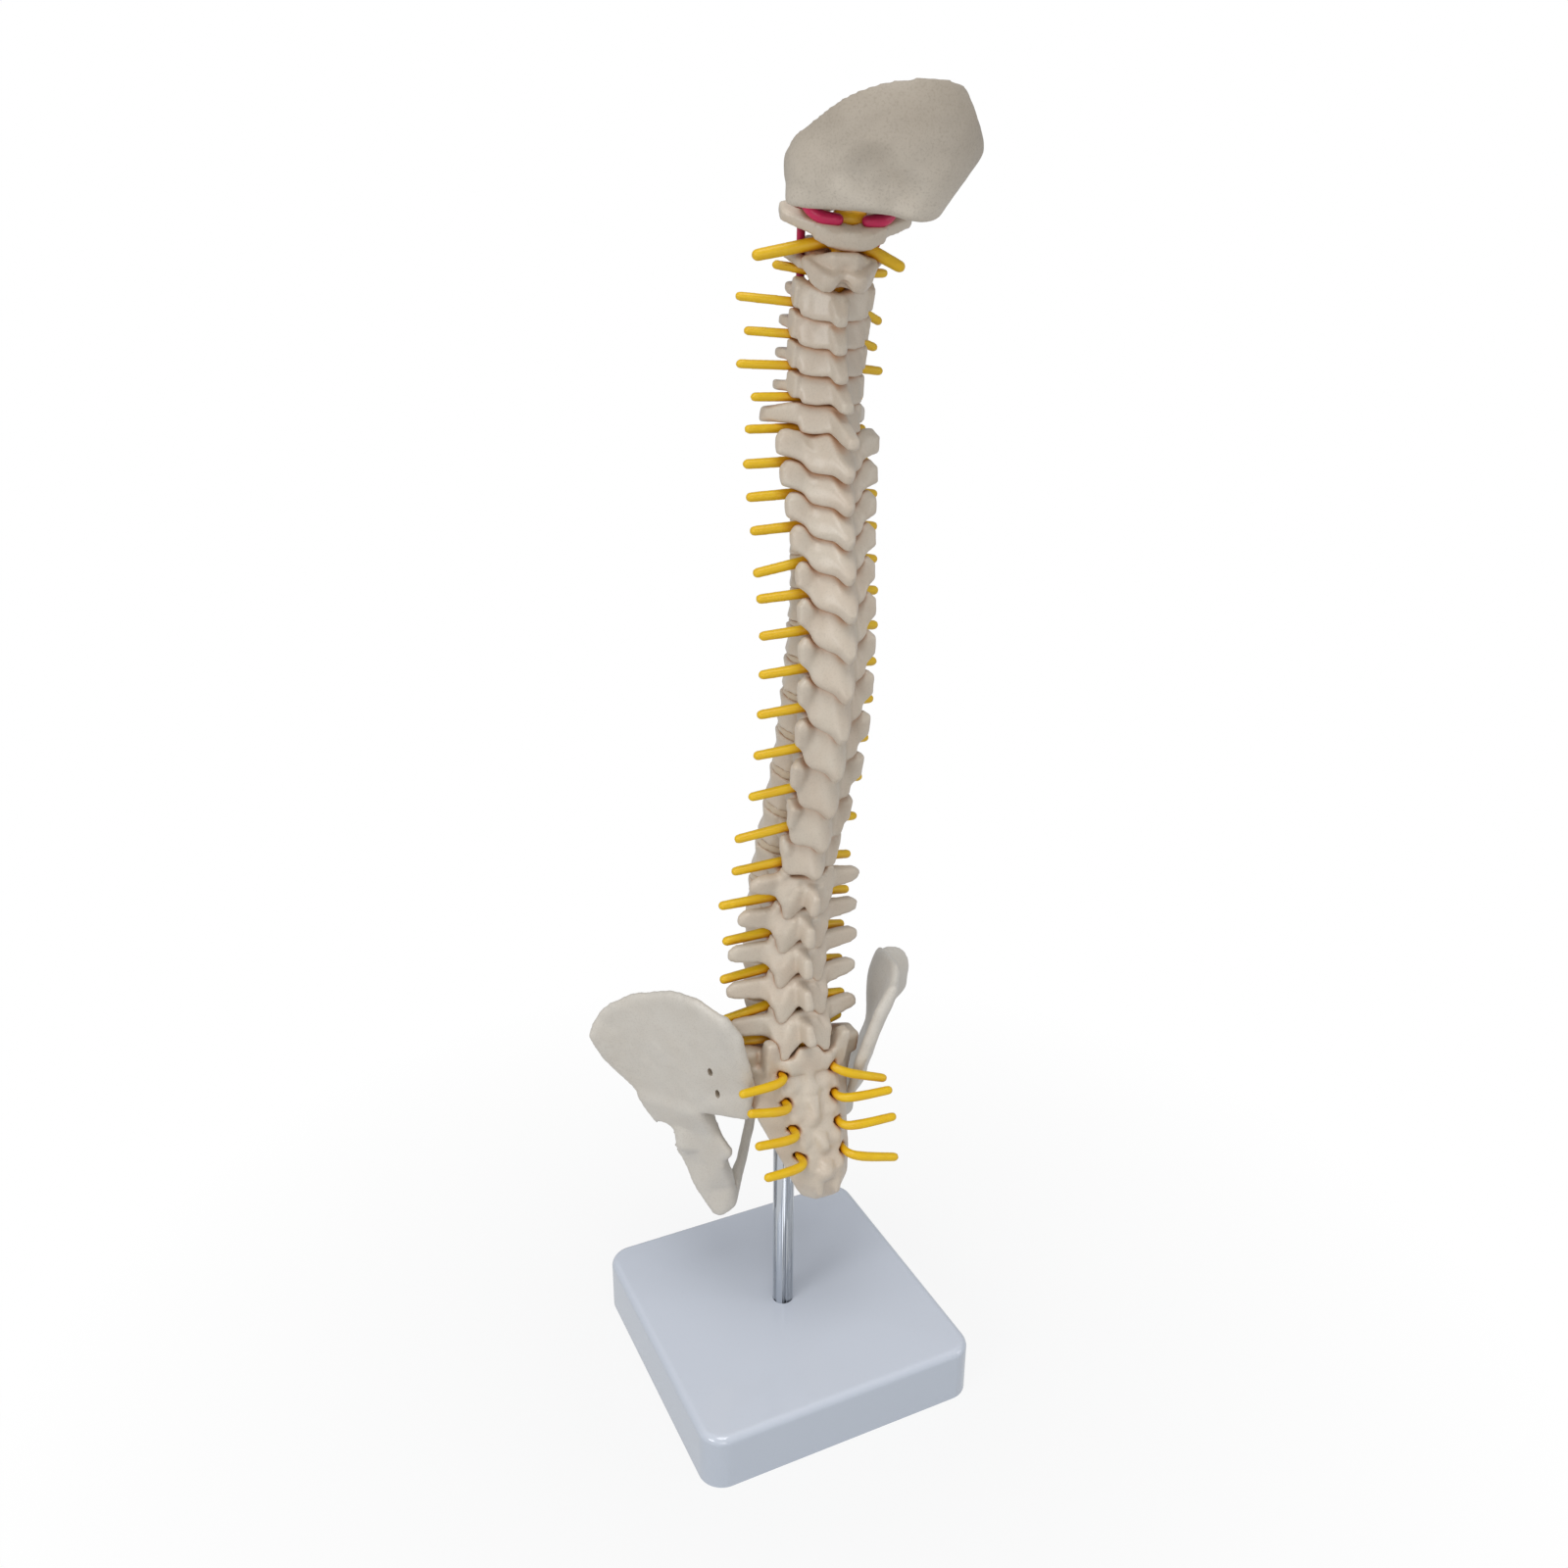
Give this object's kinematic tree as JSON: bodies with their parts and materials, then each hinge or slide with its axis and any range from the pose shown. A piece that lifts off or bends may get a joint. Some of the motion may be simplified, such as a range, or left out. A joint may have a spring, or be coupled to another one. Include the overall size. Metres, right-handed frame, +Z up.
{
  "type": "spine anatomy model",
  "caption": "Anatomical model of a whole spine with skull plate, pelvis, cord and nerve stubs, standing on a steel rod in a rounded square block.",
  "frame": {"origin": "middle of the model's whole outline, on the surface it stands on; the rod's axis is 0.8 mm to -X and 3.9 mm to +Y of it", "axes": "+Z up along the rod; -Y is the side the spine's back faces; -X is the model's left side"},
  "size_m": [0.131, 0.1178, 0.448],
  "materials": {
    "bone_plastic": "warm ivory, semi-gloss, slightly darker in the hollows",
    "skull_plastic": "greyer ivory, finely speckled",
    "disc_plastic": "bone colour, soft satin",
    "nerve_plastic": "yellow, soft gloss",
    "artery_plastic": "crimson, soft gloss",
    "rod_steel": "polished",
    "stand_plastic": "glossy white"
  },
  "bodies": {
    "root": {"base": "stand_plastic", "rod": "rod_steel", "rod_nut": "rod_steel", "rod_washer": "rod_steel", "sacrum": "bone_plastic", "hip_left": "bone_plastic", "hip_right": "bone_plastic", "skull_plate": "skull_plastic", "cord_with_nerves": "nerve_plastic", "artery_left": "artery_plastic", "artery_right": "artery_plastic", "atlas": "bone_plastic", "axis": "bone_plastic", "neck_vertebra_3": "bone_plastic", "neck_vertebra_4": "bone_plastic", "neck_vertebra_5": "bone_plastic", "neck_vertebra_6": "bone_plastic", "neck_vertebra_7": "bone_plastic", "chest_vertebra_1": "bone_plastic", "chest_vertebra_2": "bone_plastic", "chest_vertebra_3": "bone_plastic", "chest_vertebra_4": "bone_plastic", "chest_vertebra_5": "bone_plastic", "chest_vertebra_6": "bone_plastic", "chest_vertebra_7": "bone_plastic", "chest_vertebra_8": "bone_plastic", "chest_vertebra_9": "bone_plastic", "chest_vertebra_10": "bone_plastic", "chest_vertebra_11": "bone_plastic", "chest_vertebra_12": "bone_plastic", "lumbar_vertebra_1": "bone_plastic", "lumbar_vertebra_2": "bone_plastic", "lumbar_vertebra_3": "bone_plastic", "lumbar_vertebra_4": "bone_plastic", "lumbar_vertebra_5": "bone_plastic", "disc_under_axis": "disc_plastic", "disc_under_neck_3": "disc_plastic", "disc_under_neck_4": "disc_plastic", "disc_under_neck_5": "disc_plastic", "disc_under_neck_6": "disc_plastic", "disc_under_neck_7": "disc_plastic", "disc_under_chest_1": "disc_plastic", "disc_under_chest_2": "disc_plastic", "disc_under_chest_3": "disc_plastic", "disc_under_chest_4": "disc_plastic", "disc_under_chest_5": "disc_plastic", "disc_under_chest_6": "disc_plastic", "disc_under_chest_7": "disc_plastic", "disc_under_chest_8": "disc_plastic", "disc_under_chest_9": "disc_plastic", "disc_under_chest_10": "disc_plastic", "disc_under_chest_11": "disc_plastic", "disc_under_chest_12": "disc_plastic", "disc_under_lumbar_1": "disc_plastic", "disc_under_lumbar_2": "disc_plastic", "disc_under_lumbar_3": "disc_plastic", "disc_under_lumbar_4": "disc_plastic", "disc_under_lumbar_5": "disc_plastic"}
  },
  "joints": []
}
